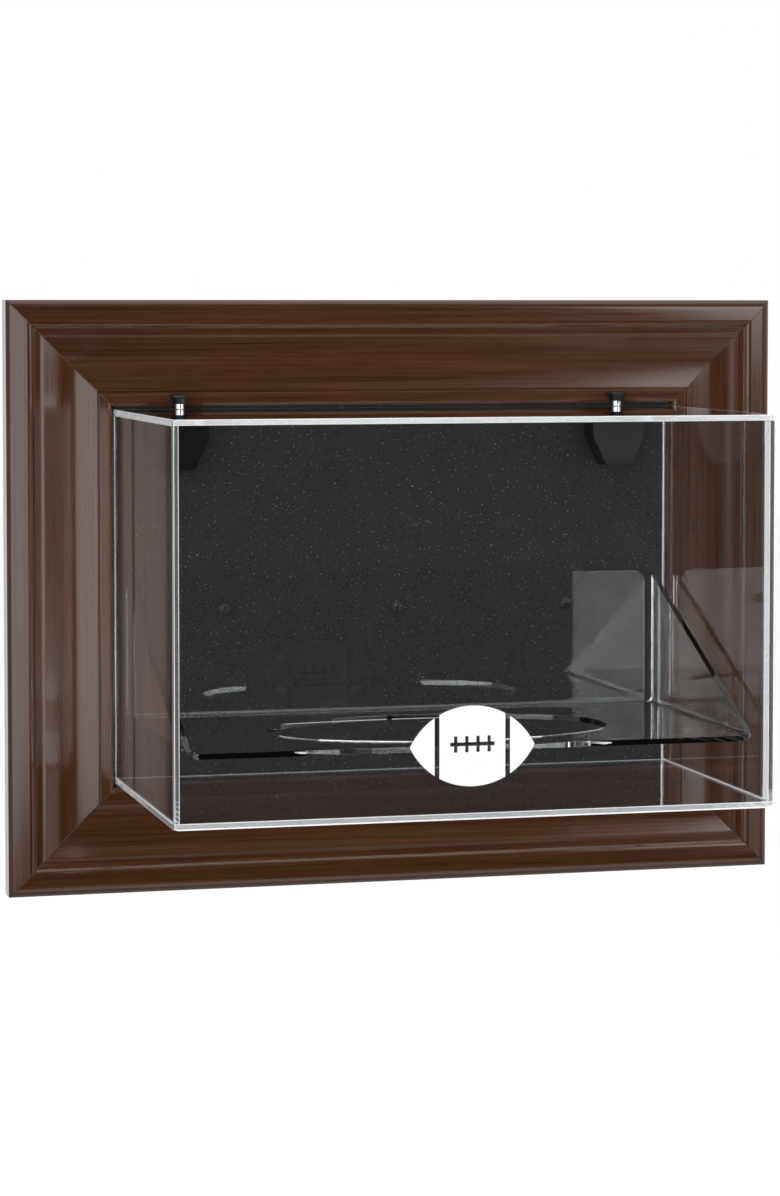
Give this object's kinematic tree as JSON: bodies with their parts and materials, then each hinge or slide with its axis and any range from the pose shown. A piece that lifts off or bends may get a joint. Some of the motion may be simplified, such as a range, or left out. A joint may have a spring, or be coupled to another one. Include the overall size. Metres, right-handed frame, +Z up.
{
  "type": "football display case",
  "caption": "Wall-hung display case: dark wood frame round a suede panel, clear ball shelf, and a clear box cover held on by thumbscrews.",
  "frame": {"origin": "on the wall plane, at the middle of the top rail's back face, midway between the two keyhole plates", "axes": "+X to the viewer's right along the wall, +Y into the wall, +Z up; the case stands out from the wall towards -Y"},
  "size_m": [0.4444, 0.1862, 0.3302],
  "materials": {
    "walnut": "satin dark brown lacquer with fine straight grain along each rail",
    "fibreboard": "raw medium-density fibreboard",
    "suede": "black suede with fine light flecks",
    "clear_acrylic": "clear polished sheet with bright sawn edges",
    "black_plastic": "black moulded plastic",
    "chrome": "bright plated",
    "steel": "zinc-plated",
    "brass": "machined",
    "white_print": "opaque white screen print"
  },
  "bodies": {
    "frame": {"top_rail": "walnut", "bottom_rail": "walnut", "left_stile": "walnut", "right_stile": "walnut", "corner_v_nails": "steel", "backing_board": "fibreboard", "suede_panel": "suede", "backing_points": "steel", "left_bracket": "black_plastic", "right_bracket": "black_plastic", "bracket_screws": "steel", "left_insert": "brass", "right_insert": "brass", "ball_shelf": "clear_acrylic", "shelf_screws": "steel", "left_keyhole_plate": "steel", "right_keyhole_plate": "steel", "hanger_screws": "steel"},
    "cover": {"cover_front_panel": "clear_acrylic", "cover_top_panel": "clear_acrylic", "cover_bottom_panel": "clear_acrylic", "cover_left_panel": "clear_acrylic", "cover_right_panel": "clear_acrylic", "front_emblem": "white_print"},
    "left_collar": {"left_collar": "chrome"},
    "right_collar": {"right_collar": "chrome"},
    "left_thumbscrew": {"left_knob": "black_plastic", "left_stud": "chrome"},
    "right_thumbscrew": {"right_knob": "black_plastic", "right_stud": "chrome"}
  },
  "joints": [
    {"name": "cover_slide", "type": "slide", "parent": "frame", "child": "cover", "axis": [0, -1, 0], "range_m": [0, 0.2]},
    {"name": "left_screw_lift", "type": "slide", "parent": "frame", "child": "left_collar", "axis": [0, 0, 1], "range_m": [0, 0.0028]},
    {"name": "left_screw_turn", "type": "hinge", "parent": "left_collar", "child": "left_thumbscrew", "pos_m": [-0.127, -0.0215, -0.0354], "axis": [0, 0, 1], "range_deg": [0, 1441]},
    {"name": "right_screw_lift", "type": "slide", "parent": "frame", "child": "right_collar", "axis": [0, 0, 1], "range_m": [0, 0.0028]},
    {"name": "right_screw_turn", "type": "hinge", "parent": "right_collar", "child": "right_thumbscrew", "pos_m": [0.127, -0.0215, -0.0354], "axis": [0, 0, 1], "range_deg": [0, 1441]}
  ],
  "couplings": [
    {"joint": "left_screw_turn", "follows": "left_screw_lift", "rad_per_m": 8975.9},
    {"joint": "right_screw_turn", "follows": "right_screw_lift", "rad_per_m": 8975.9}
  ]
}
